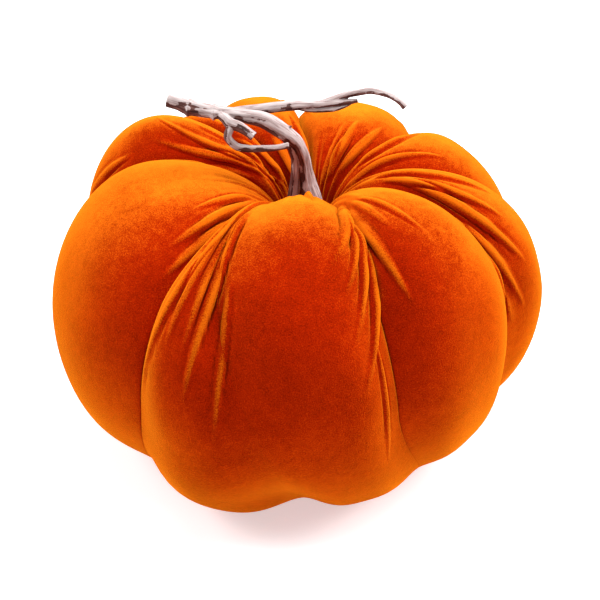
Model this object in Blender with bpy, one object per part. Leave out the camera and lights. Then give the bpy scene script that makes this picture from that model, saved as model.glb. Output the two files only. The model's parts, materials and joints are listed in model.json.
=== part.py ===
"""A velvet pumpkin: one filled velvet body, gathered at its crown, and one dried vine stem.

Sizes in the tables are millimetres and angles are degrees. Azimuth 0 is the front (-Y) and +90 is +X.
A place on the body's meridian is 0 at the throat, 1 on the crown, 2 at the equator and 3 at the base.
"""
from collections import namedtuple

import bmesh
import bpy
import numpy as np

MM = 0.001

# Body: the hollow in which the velvet is gathered round the stem, and the roundness of its meridian
THROAT_RADIUS = 15
THROAT_HEIGHT = 122
THROAT_OFFSET = (9, 4)
INNER_POWER, OUTER_POWER, LOW_POWER = 2.0, 2.1, 2.1
ROWS_INNER, ROWS_OUTER, ROWS_LOW = 9, 13, 8

# Places at which the tables give a groove's azimuth and depth: throat, crown, shoulder, equator, foot
STATIONS = (0, 1, 1.5, 2, 2.6)
# Share of the throat's offset by which the velvet is drawn aside at each station
DRAWN_ASIDE = (1, 0.2, 0, 0, 0)

# A groove is the line of stitches that draws the velvet in between two lobes
Groove = namedtuple("Groove", "name azimuths depths")
GROOVES = (
    Groove("left to front_left", (-45, -28, -36, -37, -42), (4, 18, 17, 14, 9)),
    Groove("front_left to front", (-28, -23, -19, -16, 4), (4, 10, 8, 4, 8)),
    Groove("front to front_right", (32, 29, 23, 27, 40), (4, 14, 15, 13, 9)),
    Groove("front_right to right", (60, 68, 65, 64, 64), (4, 15, 17, 17, 10)),
    Groove("right to right_back", (88, 90, 95, 97, 98), (4, 10, 10, 8, 6)),
    Groove("right_back to back_right", (118, 126, 135, 138, 138), (4, 20, 17, 12, 8)),
    Groove("back_right to back", (166, 175, 177, 178, 178), (4, 18, 16, 12, 8)),
    Groove("back to back_narrow", (204, 209, 209, 209, 209), (4, 16, 14, 12, 8)),
    Groove("back_narrow to back_left", (224, 225, 224, 224, 224), (4, 12, 11, 10, 8)),
    Groove("back_left to left", (248, 258, 260, 261, 262), (4, 22, 21, 18, 10)),
)
# How sharp the valley of a groove is at each station, from 0, a soft wave, to 1, a crease
SHARPNESS = (0.8, 0.9, 0.65, 0.35, 0.2)
CREASE_POWER, WAVE_POWER = 2.6, 1.6

# Lobe number k lies between groove k and groove k + 1. Steps is the number of mesh columns between two
# lines, which are its grooves and the folds on it
Lobe = namedtuple("Lobe", "name reach crown_radius crown_height equator_height base_radius steps")
LOBES = (
    Lobe("front_left", 150, 66, 173, 80, 98, 4),
    Lobe("front", 146, 60, 174, 84, 96, 5),
    Lobe("front_right", 142, 66, 170, 84, 88, 5),
    Lobe("right", 151, 68, 168, 94, 88, 4),
    Lobe("right_back", 146, 68, 168, 84, 95, 5),
    Lobe("back_right", 150, 68, 171, 84, 95, 4),
    Lobe("back", 152, 68, 172, 84, 95, 4),
    Lobe("back_narrow", 152, 66, 168, 84, 95, 4),
    Lobe("back_left", 150, 76, 174, 88, 95, 4),
    Lobe("left", 147, 66, 168, 88, 84, 5),
)

# A fold is a rounded ridge between two places on the meridian; azimuths at its start, middle and end
Fold = namedtuple("Fold", "name start end azimuths half_width height")
FOLDS = (
    Fold("left 1", 1.15, 1.75, (-96, -94, -90), 4.6, 4.0),
    Fold("left 2", 0.60, 1.05, (-54, -49, -44), 4.0, 3.5),
    Fold("left 3", 0.70, 1.30, (-46, -39, -43), 4.0, 4.5),
    Fold("left 4", 0.95, 1.50, (-31, -37, -42), 4.0, 5.0),
    Fold("front left 1", 1.10, 2.05, (-26, -33, -35), 3.4, 3.5),
    Fold("front left 2", 1.05, 1.62, (-25, -26, -28), 3.2, 3.5),
    Fold("front left 3", 1.00, 1.78, (-24, -22, -21), 4.0, 5.5),
    Fold("front 1", 0.92, 1.90, (-21.5, -16.5, -14), 4.4, 5.0),
    Fold("front 2", 0.85, 1.50, (25, 20, 12), 4.2, 4.0),
    Fold("front 3", 1.10, 1.82, (25, 20, 17), 3.6, 4.0),
    Fold("front 4", 1.10, 2.08, (27, 21, 21), 3.6, 4.5),
    Fold("front right 1", 0.86, 1.60, (36, 30, 29), 4.6, 5.5),
    Fold("front right 2", 0.82, 1.20, (40, 38, 37), 3.5, 3.0),
    Fold("front right 3", 0.84, 1.28, (44, 44, 46), 3.5, 3.0),
    Fold("right 1", 1.22, 1.84, (68, 68, 70), 4.4, 4.0),
    Fold("right 2", 0.98, 1.66, (71, 71, 73), 4.6, 5.0),
    Fold("right 3", 0.84, 1.42, (69.5, 75, 79), 4.5, 4.5),
    Fold("right 4", 0.70, 1.38, (76, 80, 85), 4.5, 4.5),
    Fold("right back 1", 0.68, 1.22, (92, 97, 104), 4.4, 3.5),
    Fold("right back 2", 0.50, 1.15, (111, 112, 119), 4.5, 4.0),
    Fold("back right 1", 0.52, 1.20, (131, 134, 140), 4.0, 4.0),
    Fold("back right 2", 0.34, 0.92, (138, 137, 143), 4.0, 4.5),
    Fold("back right 3", 1.02, 1.60, (148, 149, 152), 4.4, 4.0),
    Fold("back right 4", 0.28, 0.88, (148, 146, 151), 4.0, 4.5),
    Fold("back right 5", 1.00, 1.70, (171, 170, 168), 4.4, 4.5),
    Fold("back 1", 0.35, 1.50, (171, 181, 187), 4.2, 4.0),
    Fold("back 2", 0.24, 0.70, (194, 199, 202), 3.5, 3.5),
    Fold("back 3", 1.05, 1.65, (204, 204, 202), 4.2, 4.0),
    Fold("back narrow 1", 1.05, 1.60, (213, 214, 216), 4.2, 4.0),
    Fold("back narrow 2", 0.30, 0.74, (211, 217, 221), 3.5, 3.5),
    Fold("back left 1", 1.05, 1.65, (230, 231, 234), 4.4, 4.0),
    Fold("back left 2", 0.32, 1.12, (230, 243, 241), 4.2, 4.5),
    Fold("back left 3", 0.40, 1.30, (244, 252, 254), 4.2, 3.5),
)
# Share of a fold's width left at its ends, how fast its height fades there, and its side troughs' depth
FOLD_END_WIDTH, FOLD_FADE, FOLD_TROUGH = 0.7, 0.6, 0.3
# Least share of a lobe between two lines of columns, and how closely the columns crowd to those lines
LEAST_GAP = 0.035
CROWDING = 0.8

# Stem: the route of each branch as x, y, z and the radius there; the trunk starts on the throat's floor
STEM_GAP = 0.3
BRANCHES = {
    "trunk": (
        (9, 4, THROAT_HEIGHT + STEM_GAP, 11.5), (8.5, 4, 132, 10.4), (8, 4, 142, 9.2), (6.5, 4, 151, 7.8),
        (5, 3, 160, 6.8), (3, 2, 171, 5.6), (-1, 0, 182, 5.1), (-8, -2, 191, 4.9), (-17, -3, 197, 4.6),
        (-27, -3, 199, 4.3), (-35, -3, 201, 4.1), (-43, -3, 202, 3.9), (-51, -2, 203, 3.3),
        (-59, -1, 204, 3.6), (-64, 0, 206, 2.9), (-70, 1, 207, 3.3),
    ),
    "long branch": (
        (-41, -2, 201.5, 2.2), (-33, 2, 201, 2.5), (-27, 5, 200.5, 2.6), (-18, 8, 200, 2.6),
        (-7, 10, 200, 2.5), (4, 12, 200, 2.5), (15, 13, 200, 2.4), (27, 14, 199.5, 2.2), (37, 15, 201, 1.6),
    ),
    "arched tendril": (
        (18, 13, 199.5, 1.5), (23, 15, 201, 1.7), (30, 16, 203.5, 1.9), (37, 16, 205, 1.9),
        (44, 16, 206, 1.8), (51, 15, 205, 1.7), (57, 14, 203, 1.6), (62, 12, 200, 1.6), (64, 11, 198, 1.8),
    ),
    "stub": (
        (-42, -4, 201, 2.4), (-38, -8, 200, 2.7), (-35, -10, 198, 2.9), (-30, -12, 197, 2.8),
        (-25, -13, 194, 2.6), (-22, -14, 192, 2.7),
    ),
    "curled tendril": (
        (-36, -9, 199, 2.0), (-35, -11, 196, 2.4), (-36.5, -13, 192, 2.4), (-35, -14, 189, 2.2),
        (-31, -15, 186, 2.1), (-25, -15, 185, 2.0), (-17, -13, 184, 1.9), (-10, -12, 184, 1.8),
        (-5, -11, 184.5, 1.8),
    ),
}
# Sides round a branch, length of one step along it, and the ribs that the dried wood shows
Wood = namedtuple("Wood", "sides step ribs rib_depth twist")
WOODS = {
    "trunk": Wood(12, 4.0, 3, 0.13, 0.012),
    "long branch": Wood(8, 4.5, 2, 0.10, 0.02),
    "arched tendril": Wood(7, 4.0, 2, 0.08, 0.03),
    "stub": Wood(8, 4.0, 3, 0.06, 0.02),
    "curled tendril": Wood(7, 3.5, 2, 0.08, 0.03),
}
# Direction that fixes where the ribs of a branch begin, and the edge angle above which shading breaks
RIB_START = (0.2, 1, 0.1)
SMOOTH_ANGLE = 50

# Materials: colour, roughness, metallic
VELVET = ((0.82, 0.17, 0.008), 0.9, 0.0)
DRIED_WOOD = ((0.52, 0.42, 0.38), 0.75, 0.0)


def clear_scene():
    for item in list(bpy.data.objects):
        bpy.data.objects.remove(item)


def principled(name, look):
    colour, roughness, metallic = look
    material = bpy.data.materials.new(name)
    material.use_nodes = True
    shader = material.node_tree.nodes["Principled BSDF"]
    shader.inputs["Base Color"].default_value = (*colour, 1)
    shader.inputs["Roughness"].default_value = roughness
    shader.inputs["Metallic"].default_value = metallic
    material.diffuse_color = (*colour, 1)
    return material


def at_stations(place, values):
    """Smooth value at a place on the meridian, from the values at the stations; it never overshoots them."""
    values = np.array(values, float)
    stations = np.array(STATIONS, float)
    place = np.clip(place, stations[0], stations[-1])
    slopes = np.diff(values) / np.diff(stations)
    before, after = slopes[:-1], slopes[1:]
    turns = before * after <= 0
    total = np.where(turns, 1, before + after)
    middle = np.where(turns, 0, 2 * before * after / total)
    tangents = np.concatenate([slopes[:1], middle, slopes[-1:]])
    k = np.clip(np.searchsorted(stations, place, side="right") - 1, 0, len(stations) - 2)
    step = stations[k + 1] - stations[k]
    f = (place - stations[k]) / step
    start = (1 + 2 * f) * (1 - f) ** 2 * values[k] + f * (1 - f) ** 2 * step * tangents[k]
    end = f * f * (3 - 2 * f) * values[k + 1] - f * f * (1 - f) * step * tangents[k + 1]
    return start + end


def across_lobe(number, fraction, column):
    """A lobe's own table value at its middle, and the mean with its neighbour's at each groove."""
    own = getattr(LOBES[number], column)
    before = getattr(LOBES[number - 1], column)
    after = getattr(LOBES[(number + 1) % len(LOBES)], column)
    edge = np.where(fraction < 0.5, (own + before) / 2, (own + after) / 2)
    weight = np.sin(np.pi * fraction) ** 2
    return own * weight + edge * (1 - weight)


def meridian(place, size):
    """Radius and height on the meridian, and the direction in which grooves and folds displace it."""
    quarter = np.clip(place.astype(int), 0, 2)
    angle = (place - quarter) * np.pi / 2
    rise = np.maximum(np.sin(angle), 1e-9)
    fall = np.maximum(np.cos(angle), 1e-9)
    inner_r = size["crown_radius"] - (size["crown_radius"] - THROAT_RADIUS) * fall ** (2 / INNER_POWER)
    inner_z = THROAT_HEIGHT + (size["crown_height"] - THROAT_HEIGHT) * rise ** (2 / INNER_POWER)
    outer_r = size["crown_radius"] + (size["reach"] - size["crown_radius"]) * rise ** (2 / OUTER_POWER)
    upper = size["crown_height"] - size["equator_height"]
    outer_z = size["equator_height"] + upper * fall ** (2 / OUTER_POWER)
    low_r = size["base_radius"] + (size["reach"] - size["base_radius"]) * fall ** (2 / LOW_POWER)
    low_z = size["equator_height"] * (1 - rise ** (2 / LOW_POWER))
    radius = np.choose(quarter, [inner_r, outer_r, low_r])
    height = np.choose(quarter, [inner_z, outer_z, low_z])
    # the direction turns from inwards at the throat, up on the crown and outwards at the equator, and stays
    # nearly level below it, so that the grooves reach the flat base without lifting its edge
    droop = (3 - np.clip(place, 2, 3)) * (np.clip(place, 2, 3) - 2) * np.pi / 2
    turn = np.where(place < 2, np.pi - place * np.pi / 2, -droop)
    return radius, height, np.cos(turn), np.sin(turn)


def groove_profile(fraction, sharpness):
    """Share of a groove's depth across a lobe: 1 in the groove, 0 on the lobe's middle."""
    off_middle = np.abs(2 * fraction - 1)
    crease = 1 - np.sqrt(np.maximum(1 - off_middle ** CREASE_POWER, 0))
    wave = 0.5 - 0.5 * np.cos(np.pi * off_middle ** WAVE_POWER)
    return sharpness * crease + (1 - sharpness) * wave


def fold_line(fold, place):
    """Azimuth of a fold's crest, and the share of its length at which this place lies."""
    along = np.clip((place - fold.start) / (fold.end - fold.start), 0, 1)
    first, middle, last = fold.azimuths
    bend = first + last - 2 * middle
    return first + (last - first) * along + 2 * bend * along * (along - 1), along


def fold_height(place, azimuth, radius):
    """Height of all folds at a place: each is a rounded ridge with a shallow trough along both sides."""
    total = np.zeros_like(azimuth)
    for fold in FOLDS:
        line, along = fold_line(fold, place)
        aside = (azimuth - line + 180) % 360 - 180
        width = fold.half_width * (FOLD_END_WIDTH + (1 - FOLD_END_WIDTH) * np.sin(np.pi * along))
        x = np.abs(np.radians(aside) * radius / width)
        ridge = np.cos(np.minimum(x, 1) * np.pi / 2) ** 2
        trough = np.sin((np.clip(x, 1, 2) - 1) * np.pi) ** 2
        total += fold.height * np.sin(np.pi * along) ** FOLD_FADE * (ridge - FOLD_TROUGH * trough)
    return total


def groove_azimuths(number, place):
    """Azimuths of the grooves before and after a lobe."""
    following = (number + 1) % len(GROOVES)
    start = at_stations(place, GROOVES[number].azimuths)
    end = at_stations(place, GROOVES[following].azimuths) + (360 if following == 0 else 0)
    return start, end


def share_of_lobe(number, place, azimuth):
    start, end = groove_azimuths(number, place)
    return ((azimuth - start + 180) % 360 - 180) / (end - start)


def folds_on_lobe(number):
    """Folds whose middle lies between the lobe's grooves, in order round the body."""
    shares = {}
    for fold in FOLDS:
        middle = (fold.start + fold.end) / 2
        share = share_of_lobe(number, middle, fold_line(fold, middle)[0])
        if 0 < share < 1:
            shares[fold] = share
    return sorted(shares, key=shares.get)


def column_fractions(number, place):
    """Fractions across a lobe at which mesh columns stand: on its grooves, on its folds and between them."""
    lines = [0.0]
    for fold in folds_on_lobe(number):
        held = np.clip(place, fold.start, fold.end)
        share = share_of_lobe(number, held, fold_line(fold, held)[0])
        lines.append(max(share, lines[-1] + LEAST_GAP))
    lines.append(1.0)
    for i in range(len(lines) - 2, 0, -1):
        lines[i] = min(lines[i], lines[i + 1] - LEAST_GAP)
    even = np.arange(LOBES[number].steps) / LOBES[number].steps
    crowded = even - CROWDING * np.sin(2 * np.pi * even) / (2 * np.pi)
    return np.concatenate([start + (end - start) * crowded for start, end in zip(lines, lines[1:])])


def lobe_sizes(number, fraction):
    columns = ("reach", "crown_radius", "crown_height", "equator_height", "base_radius")
    return {column: across_lobe(number, fraction, column) for column in columns}


def body_row(place):
    """World points of the mesh row at one place on the meridian, in millimetres, before centring."""
    points = []
    for k in range(len(LOBES)):
        start, end = groove_azimuths(k, place)
        fraction = column_fractions(k, place)
        azimuth = start + (end - start) * fraction
        radius, height, out, up = meridian(np.full(fraction.size, place), lobe_sizes(k, fraction))
        blend = fraction ** 2 * (3 - 2 * fraction)
        start_depth = at_stations(place, GROOVES[k].depths)
        end_depth = at_stations(place, GROOVES[(k + 1) % len(GROOVES)].depths)
        depth = start_depth * (1 - blend) + end_depth * blend
        push = fold_height(place, azimuth, radius)
        push = push - depth * groove_profile(fraction, at_stations(place, SHARPNESS))
        radius = radius + push * out
        height = height + push * up
        aside = at_stations(place, DRAWN_ASIDE)
        x = radius * np.sin(np.radians(azimuth)) + aside * THROAT_OFFSET[0]
        y = -radius * np.cos(np.radians(azimuth)) + aside * THROAT_OFFSET[1]
        points.append(np.stack([x, y, height], axis=-1))
    return np.concatenate(points)


def body_points():
    places = np.concatenate([
        np.linspace(0, 1, ROWS_INNER, endpoint=False),
        np.linspace(1, 2, ROWS_OUTER, endpoint=False),
        np.linspace(2, 3, ROWS_LOW + 1),
    ])
    return np.array([body_row(place) for place in places])


def grid_object(name, rows, material):
    """A closed skin over rings of points, from the first to the last, with a flat cap on each end."""
    mesh = bmesh.new()
    rings = [[mesh.verts.new(point) for point in row] for row in rows * MM]
    count = len(rings[0])
    for upper, lower in zip(rings, rings[1:]):
        for i in range(count):
            j = (i + 1) % count
            mesh.faces.new((upper[i], upper[j], lower[j], lower[i]))
    mesh.faces.new(rings[0][::-1])
    mesh.faces.new(rings[-1])
    bmesh.ops.recalc_face_normals(mesh, faces=mesh.faces)
    data = bpy.data.meshes.new(name)
    mesh.to_mesh(data)
    mesh.free()
    data.shade_smooth()
    data.set_sharp_from_angle(angle=np.radians(SMOOTH_ANGLE))
    data.materials.append(material)
    item = bpy.data.objects.new(name, data)
    bpy.context.scene.collection.objects.link(item)
    return item


def smooth_route(stations, step):
    """Points and radii along a smooth curve through a branch's stations, about one step apart."""
    stations = np.array(stations, float)
    padded = np.vstack([2 * stations[0] - stations[1], stations, 2 * stations[-1] - stations[-2]])
    out = []
    for k in range(1, len(padded) - 2):
        before, start, end, after = padded[k - 1:k + 3]
        count = max(1, round(np.linalg.norm((end - start)[:3]) / step))
        for f in np.arange(count) / count:
            curve = (2 * start + (end - before) * f + (2 * before - 5 * start + 4 * end - after) * f ** 2
                     + (3 * start - before - 3 * end + after) * f ** 3) / 2
            out.append(curve)
    out.append(stations[-1])
    out = np.array(out)
    return out[:, :3], out[:, 3]


def branch_rings(name):
    """Rings of points round a branch: a ribbed section carried along its route without spinning."""
    wood = WOODS[name]
    route, radii = smooth_route(BRANCHES[name], wood.step)
    tangents = np.gradient(route, axis=0)
    tangents /= np.linalg.norm(tangents, axis=1)[:, None]
    if name == "trunk":
        tangents[0] = (0, 0, 1)
    side = np.cross(tangents[0], RIB_START)
    rings = []
    travelled = 0
    for i, (point, tangent, radius) in enumerate(zip(route, tangents, radii)):
        side = side - tangent * side.dot(tangent)
        side = side / np.linalg.norm(side)
        other = np.cross(tangent, side)
        if i > 0:
            travelled += np.linalg.norm(point - route[i - 1])
        angle = np.arange(wood.sides) / wood.sides * 2 * np.pi
        rib = 1 + wood.rib_depth * np.cos(wood.ribs * (angle + wood.twist * travelled))
        section = radius * rib[:, None] * (np.cos(angle)[:, None] * side + np.sin(angle)[:, None] * other)
        rings.append(point + section)
    return np.array(rings)


def build_body(centre, material):
    rows = body_points()
    rows[..., :2] -= centre
    return grid_object("velvet_body", rows, material)


def build_stem(centre, material):
    """The trunk with every branch united to it, so that the stem is one solid."""
    stem = None
    for name in BRANCHES:
        rings = branch_rings(name)
        rings[..., :2] -= centre
        if stem is None:
            stem = grid_object("stem", rings, material)
            continue
        branch = grid_object("joined " + name, rings, material)
        branch.hide_render = True
        branch.display_type = "WIRE"
        union = stem.modifiers.new(name, "BOOLEAN")
        union.operation = "UNION"
        union.object = branch
    return stem


def main():
    clear_scene()
    footprint = body_points()[..., :2].reshape(-1, 2)
    centre = (footprint.min(axis=0) + footprint.max(axis=0)) / 2
    build_body(centre, principled("velvet", VELVET))
    build_stem(centre, principled("dried_wood", DRIED_WOOD))


main()
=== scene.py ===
"""A velvet pumpkin with a dried vine stem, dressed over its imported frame.

Sizes in the tables are millimetres and angles are degrees. Azimuth 0 is the front (-Y) and +90 is +X.
A place on the body's meridian is 0 at the throat, 1 on the crown, 2 at the equator and 3 at the base.
"""
import json
import math
from collections import namedtuple
from functools import lru_cache

import bpy
import numpy as np
from mathutils import Matrix, Vector

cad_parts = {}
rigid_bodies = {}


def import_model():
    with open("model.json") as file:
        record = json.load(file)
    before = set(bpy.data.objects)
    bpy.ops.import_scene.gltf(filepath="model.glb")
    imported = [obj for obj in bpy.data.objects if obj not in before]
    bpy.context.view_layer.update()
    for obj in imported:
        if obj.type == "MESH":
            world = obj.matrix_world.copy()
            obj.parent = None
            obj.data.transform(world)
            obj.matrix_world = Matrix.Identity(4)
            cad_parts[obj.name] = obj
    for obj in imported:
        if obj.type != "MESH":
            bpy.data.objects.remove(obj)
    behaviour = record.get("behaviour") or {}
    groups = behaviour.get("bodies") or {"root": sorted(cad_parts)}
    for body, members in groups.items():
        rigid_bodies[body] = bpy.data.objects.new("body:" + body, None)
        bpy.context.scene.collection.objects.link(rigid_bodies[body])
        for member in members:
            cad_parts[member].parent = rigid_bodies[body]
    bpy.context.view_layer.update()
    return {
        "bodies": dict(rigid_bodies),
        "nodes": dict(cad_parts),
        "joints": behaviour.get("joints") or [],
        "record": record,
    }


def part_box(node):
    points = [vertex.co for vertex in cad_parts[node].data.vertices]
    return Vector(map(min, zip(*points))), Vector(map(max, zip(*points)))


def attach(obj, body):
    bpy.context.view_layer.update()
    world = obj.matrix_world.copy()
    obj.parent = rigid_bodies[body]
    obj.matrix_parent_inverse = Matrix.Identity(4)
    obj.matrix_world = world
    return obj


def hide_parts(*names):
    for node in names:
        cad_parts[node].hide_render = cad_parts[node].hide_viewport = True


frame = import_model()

MM = 0.001
SEED = 11

# Camera: where it looks, from how far and how high, and its focal length for a 600 pixel wide picture
PICTURE = 600
LOOK_AT = (-0.0034, -0.0018, 0.0865)
CAMERA_DISTANCE = 0.650
CAMERA_ELEVATION = 34
FOCAL_PIXELS = 1046
PRINCIPAL_POINT = (293, 281)
SENSOR = 36
CLIP_START = 0.01

# Lights: name, azimuth, elevation, distance, size and power; then the white surroundings and the floor
Light = namedtuple("Light", "name azimuth elevation distance size power")
LIGHTS = (
    Light("top_light", 150, 80, 1.1, 0.9, 19),
    Light("left_light", -98, 28, 1.3, 0.7, 15),
    Light("right_light", 98, 28, 1.3, 0.7, 19),
)
SURROUNDINGS = 0.25
FLOOR_SIZE = 6.0
FLOOR_COLOUR = (0.85, 0.85, 0.85)
FLOOR_ROUGHNESS, FLOOR_GLOW = 0.9, 0.5

# Body: the hollow in which the velvet is gathered round the stem, how round the meridian is between throat,
# crown, equator and base, and the mesh rows between them
THROAT_RADIUS = 15
THROAT_HEIGHT = 122
THROAT_OFFSET = (9, 4)
INNER_POWER, OUTER_POWER, LOW_POWER = 2.0, 2.1, 2.1
ROWS_INNER, ROWS_OUTER, ROWS_LOW = 40, 60, 28

# Places at which the tables give a groove's azimuth and depth: throat, crown, shoulder, equator, foot
STATIONS = (0, 1, 1.5, 2, 2.6)
SHOULDER = 1.5
# Share of the throat's offset by which the velvet is drawn aside at each station
DRAWN_ASIDE = (1, 0.2, 0, 0, 0)

# A groove is the line of stitches that draws the velvet in between two lobes
Groove = namedtuple("Groove", "name azimuths depths crease")
GROOVES = (
    Groove("left to front_left", (-45, -31, -36, -37, -42), (4, 16, 17, 14, 9), 1.0),
    Groove("front_left to front", (-31, -26, -18.5, -7, 3), (4, 5, 8, 1.5, 10), 0.3),
    Groove("front to front_right", (32, 29, 23, 24.5, 38), (4, 14, 15, 11, 5), 0.8),
    Groove("front_right to right", (60, 68, 66, 65.5, 68), (4, 10, 13, 15, 10), 1.0),
    Groove("right to right_back", (88, 90, 95, 97, 98), (4, 10, 10, 8, 6), 1.0),
    Groove("right_back to back_right", (118, 126, 135, 138, 138), (4, 20, 17, 12, 8), 1.0),
    Groove("back_right to back", (167, 177, 179, 180, 180), (4, 18, 16, 12, 8), 1.0),
    Groove("back to back_narrow", (205, 212, 212, 212, 212), (4, 16, 14, 12, 8), 1.0),
    Groove("back_narrow to back_left", (224, 225, 224, 224, 224), (4, 12, 11, 10, 8), 1.0),
    Groove("back_left to left", (248, 258, 260, 261, 262), (4, 17, 18, 16, 10), 1.0),
)
# How sharp the valley of a groove is at each station, from 0, a soft wave, to 1, a crease
SHARPNESS = (0.8, 0.9, 0.65, 0.3, 0.08)
CREASE_POWER, WAVE_POWER = 2.6, 1.6

# Lobe number k lies between groove k and groove k + 1
Lobe = namedtuple("Lobe", "name reach crown_radius crown_height equator_height base_radius")
LOBES = (
    Lobe("front_left", 152.5, 66, 168, 80, 101),
    Lobe("front", 145, 60, 174, 84, 95),
    Lobe("front_right", 144, 66, 170, 84, 88),
    Lobe("right", 151.5, 68, 168, 88, 91),
    Lobe("right_back", 145, 72, 170, 84, 93),
    Lobe("back_right", 150, 68, 171, 84, 95),
    Lobe("back", 152, 68, 172, 84, 95),
    Lobe("back_narrow", 148, 66, 168, 84, 94),
    Lobe("back_left", 144, 88, 176, 90, 95),
    Lobe("left", 148, 68, 170, 80, 85),
)

# A fold is a rounded ridge between two places on the meridian; azimuths at its start, middle and end.
# Lean is how much steeper its side towards greater azimuths is, and less than 0 for the other side.
Fold = namedtuple("Fold", "name start end azimuths half_width height lean")
FOLDS = (
    Fold("left 1", 0.60, 1.06, (-48, -45.5, -46.5), 3.4, 3.2, 0.3),
    Fold("left 2", 0.68, 1.26, (-41, -38.4, -41.5), 3.8, 4.2, 0.4),
    Fold("left 3", 0.86, 1.38, (-33, -34.5, -38.5), 3.6, 4.2, 0.5),
    Fold("front left 1", 1.12, 1.98, (-26.5, -30.5, -35.5), 3.2, 3.2, 0.3),
    Fold("front left 2", 1.04, 1.62, (-27, -26.5, -27.5), 2.8, 3.0, 0.3),
    Fold("front left 3", 1.00, 1.64, (-26, -23.8, -23.5), 2.8, 3.0, 0.3),
    Fold("front left 4", 0.94, 1.84, (-26, -21.4, -22), 3.6, 4.6, 0.5),
    Fold("front 1", 1.34, 1.98, (-17.5, -15.5, -15.5), 3.2, 3.0, 0.4),
    Fold("front lip", 0.60, 0.90, (5, 7, 9), 2.6, 3.0, 0.2),
    Fold("front 2", 0.62, 1.32, (31, 25, 10), 4.8, 5.6, -0.3),
    Fold("front 3", 1.00, 1.42, (24, 20.8, 13.5), 3.0, 3.4, 0.3),
    Fold("front 4", 0.98, 1.64, (27, 21.6, 13.5), 3.2, 4.0, 0.4),
    Fold("front 5", 1.10, 1.84, (26, 22.2, 15), 3.4, 4.2, 0.4),
    Fold("front 6", 1.64, 2.20, (19.5, 20.6, 21.5), 2.6, 2.2, 0.2),
    Fold("front right 1", 0.84, 1.52, (31, 29.2, 30.5), 3.8, 4.4, -0.3),
    Fold("front right 2", 0.82, 1.16, (35, 35.2, 36), 3.2, 2.2, -0.2),
    Fold("front right 3", 0.86, 1.24, (39, 42, 44.5), 3.2, 2.2, -0.2),
    Fold("right 1", 1.48, 2.04, (65.6, 65.6, 68.5), 2.8, 3.0, -0.3),
    Fold("right 2", 1.22, 1.90, (67, 67, 70.5), 3.2, 3.8, -0.4),
    Fold("right 3", 0.94, 1.68, (71.5, 69.7, 73), 3.8, 4.6, -0.4),
    Fold("right 4", 0.78, 1.44, (71.5, 72.6, 75.5), 3.6, 4.0, -0.4),
    Fold("right 5", 0.70, 1.36, (76, 79, 83), 3.8, 3.6, -0.3),
    Fold("right back 1", 0.42, 1.14, (95.5, 97.8, 98), 3.4, 3.2, 0.3),
    Fold("right back 2", 0.50, 1.15, (111, 112, 119), 4.0, 3.6, 0.4),
    Fold("right back 3", 1.36, 1.80, (132, 131, 129), 3.2, 3.0, -0.3),
    Fold("back right 1", 0.44, 1.06, (129.5, 130.5, 134), 3.4, 3.4, -0.3),
    Fold("back right 2", 0.34, 0.94, (139, 139.5, 143.5), 3.4, 3.8, -0.3),
    Fold("back right 3", 1.40, 1.84, (143, 143.5, 145), 3.8, 2.4, 0.3),
    Fold("back right 4", 0.28, 0.86, (148, 145, 149), 3.2, 3.6, -0.3),
    Fold("back right 5", 1.02, 1.70, (172, 174, 171), 3.8, 2.6, -0.3),
    Fold("back 1", 0.32, 0.98, (172, 178, 184), 4.2, 4.0, 0.4),
    Fold("back 2", 0.24, 0.70, (194, 199, 202), 3.5, 3.5, 0.3),
    Fold("back 3", 1.02, 1.62, (182, 184, 186), 3.8, 2.4, 0.3),
    Fold("back 4", 1.02, 1.74, (207, 207.5, 204.5), 3.8, 2.8, -0.3),
    Fold("back narrow 1", 1.00, 1.60, (215.5, 215.5, 217), 3.2, 3.2, 0.3),
    Fold("back narrow 2", 0.28, 0.80, (210, 219, 225), 3.2, 3.2, 0.3),
    Fold("back left 1", 1.02, 1.74, (229, 228.5, 233), 3.4, 3.8, 0.3),
    Fold("back left 2", 0.30, 1.08, (231, 248, 241.5), 3.2, 3.4, 0.3),
    Fold("back left 3", 0.26, 0.88, (214, 235.5, 238), 2.8, 2.8, 0.3),
    Fold("back left 4", 0.34, 1.12, (240, 252.5, 252), 3.0, 3.0, 0.3),
    Fold("back left 5", 0.42, 1.06, (250, 256.5, 262), 2.8, 3.2, 0.2),
    Fold("back left 6", 1.24, 1.76, (256, 256, 254), 3.8, 2.8, -0.3),
)
# Share of a fold's width left at its ends, how fast its height fades there, and where along it is highest
FOLD_END_WIDTH, FOLD_FADE, FOLD_PEAK = 0.45, 0.9, 0.8
# A fold as a round roll: its width and height as shares of the table's, and how full it is
ROLL_WIDTH, ROLL_HEIGHT, ROLL_POWER = 0.92, 0.66, 0.95
# How much lean steepens a side, and how quickly it changes over at the crest
LEAN_STEEPNESS, LEAN_CHANGE = 0.25, 3
# A crease beside a fold: its place and width in half widths, and its least and added depth
CREASE_PLACE, CREASE_WIDTH, CREASE_LEAST, CREASE_ADDED = 1.05, 0.25, 0.30, 0.30
FOLD_WAVER, FOLD_WAVES = 0.14, 5
# Columns over which a surface direction is evened, and how far a fold's width may stretch on a
# groove's wall
NORMAL_REACH, MOST_STRETCH = 3, 2.5

# Pleats of the gathered velvet round the throat: how many to the round, their depth, their share at each
# station, and the most radians by which they turn aside from the throat to the crown
PLEAT_COUNTS = (31, 43, 53, 67)
PLEAT_DEPTHS = (0.9, 0.9, 0.6, 0.5)
PLEAT_STATIONS = (1, 0, 0, 0, 0)
PLEAT_DRIFT = 2

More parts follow.
